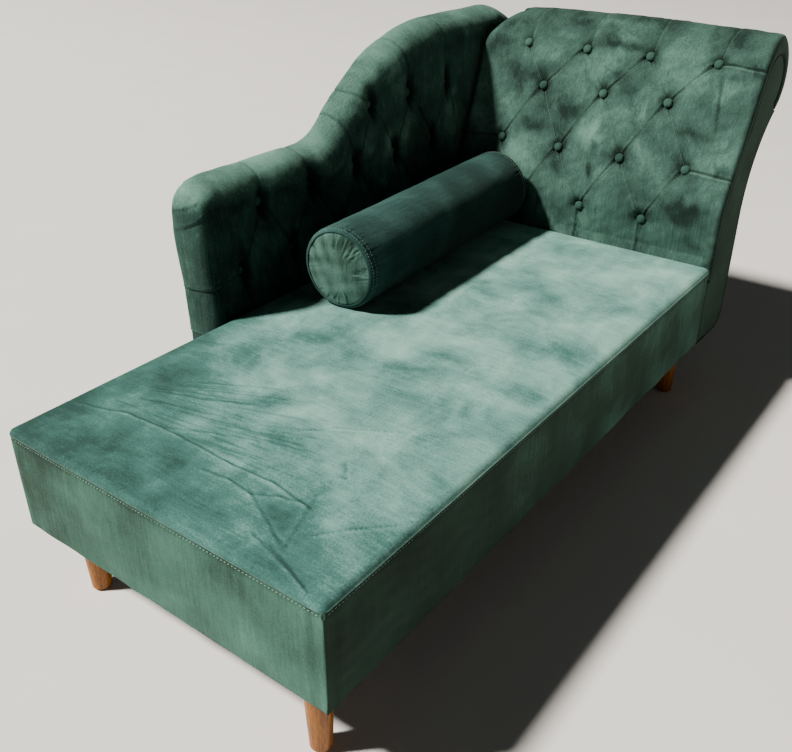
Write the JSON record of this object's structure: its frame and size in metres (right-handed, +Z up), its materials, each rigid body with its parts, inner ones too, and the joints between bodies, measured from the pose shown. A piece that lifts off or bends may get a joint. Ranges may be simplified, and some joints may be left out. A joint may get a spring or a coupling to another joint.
{
  "type": "chaise longue",
  "caption": "Upholstered chaise longue with a boxed seat on turned legs, a buttoned rolled headrest, a buttoned S-crested arm along one side and a loose bolster.",
  "frame": {"origin": "on the floor, in the middle of the overall box of the whole chaise with its bolster", "axes": "+X from the foot end to the head end, +Y from the open side to the arm, +Z up"},
  "size_m": [1.725, 0.8382, 0.822],
  "materials": {
    "velvet": "short-pile polyester velvet, deep green",
    "button_velvet": "velvet stretched over button shells, deep green",
    "foam": "open-cell polyurethane foam",
    "timber": "sawn softwood, unfinished",
    "board": "plywood and hardboard, unfinished",
    "leg_wood": "turned hardwood, clear satin lacquer",
    "steel": "zinc plated",
    "glide": "moulded, black",
    "webbing": "woven elastic webbing, black",
    "dust_cloth": "spun-bonded cloth, black"
  },
  "bodies": {
    "chaise": {"seat_cover_top": "velvet", "seat_boxing_foot": "velvet", "seat_boxing_head": "velvet", "seat_boxing_open_side": "velvet", "seat_boxing_arm_side": "velvet", "headrest_tufted_cover": "velvet", "headrest_back_cover": "velvet", "headrest_side_cover_open": "velvet", "headrest_side_cover_arm": "velvet", "arm_tufted_cover": "velvet", "arm_front_skirt": "velvet", "arm_outside_cover": "velvet", "headrest_buttons": "button_velvet", "arm_buttons": "button_velvet", "seat_foam": "foam", "headrest_foam": "foam", "arm_foam": "foam", "seat_rail_open_side": "timber", "seat_rail_arm_side": "timber", "seat_rail_foot": "timber", "seat_rail_head": "timber", "seat_brace_1": "timber", "seat_brace_2": "timber", "seat_post_foot_open": "timber", "seat_post_foot_arm": "timber", "seat_post_head_open": "timber", "seat_post_head_arm": "timber", "headrest_mounting_plank": "timber", "headrest_top_pole": "timber", "headrest_spreader": "timber", "arm_crest_rail": "timber", "arm_bottom_rail": "timber", "arm_post_front": "timber", "arm_post_middle": "timber", "arm_post_rear": "timber", "arm_packing_rail": "timber", "headrest_front_board": "board", "headrest_back_board": "board", "headrest_rib_open_side": "board", "headrest_rib_middle": "board", "headrest_rib_arm_side": "board", "arm_inner_board": "board", "arm_outer_board": "board", "leg_foot_open": "leg_wood", "leg_foot_arm": "leg_wood", "leg_head_open": "leg_wood", "leg_head_arm": "leg_wood", "leg_threaded_inserts": "steel", "leg_hanger_bolts": "steel", "headrest_bolts": "steel", "arm_bolts": "steel", "leg_glides": "glide", "seat_webbing_across": "webbing", "seat_webbing_along": "webbing", "seat_dust_cover": "dust_cloth", "arm_dust_cover": "dust_cloth"},
    "bolster": {"bolster_cover": "velvet", "bolster_core": "foam", "bolster_end_near": "velvet", "bolster_end_far": "velvet"}
  },
  "joints": [
    {"name": "bolster_lift", "type": "slide", "parent": "chaise", "child": "bolster", "axis": [0, 0, 1], "range_m": [0, 0.5]}
  ]
}
